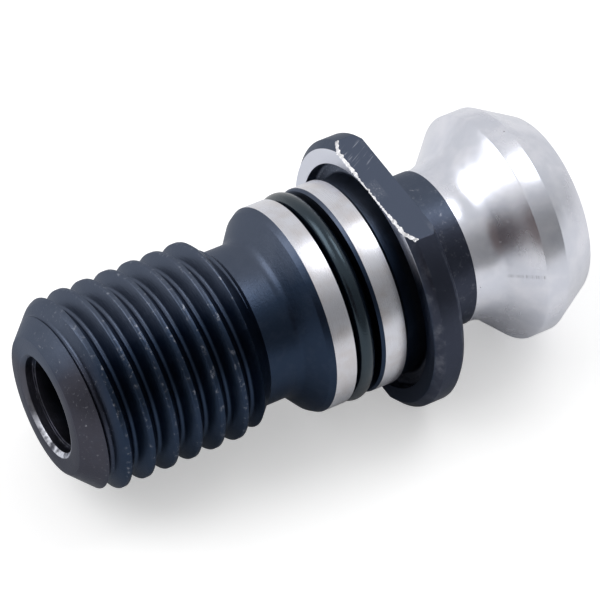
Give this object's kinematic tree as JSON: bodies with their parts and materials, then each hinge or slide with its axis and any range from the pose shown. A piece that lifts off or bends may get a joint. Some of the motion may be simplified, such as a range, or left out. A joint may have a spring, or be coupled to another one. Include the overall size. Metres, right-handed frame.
{
  "type": "pull stud",
  "caption": "Pull stud for a size 40 taper: threaded shank, piloted neck with O-ring, recessed flange with wrench flats, grip neck, 45 degree head and a through coolant bore.",
  "frame": {"origin": "middle of the length, under the axis, on the plane of the lower wrench flat", "axes": "+X along the axis from the thread end to the head, +Z out of the upper wrench flat, +Y completes the right-handed frame"},
  "size_m": [0.0444, 0.0224, 0.019],
  "materials": {
    "blackened_steel": "black oxide, with ground bright pilot bands and a ground bright head",
    "rubber": "satin nitrile"
  },
  "bodies": {
    "root": {"stud_body": "blackened_steel", "o_ring": "rubber"}
  },
  "joints": []
}
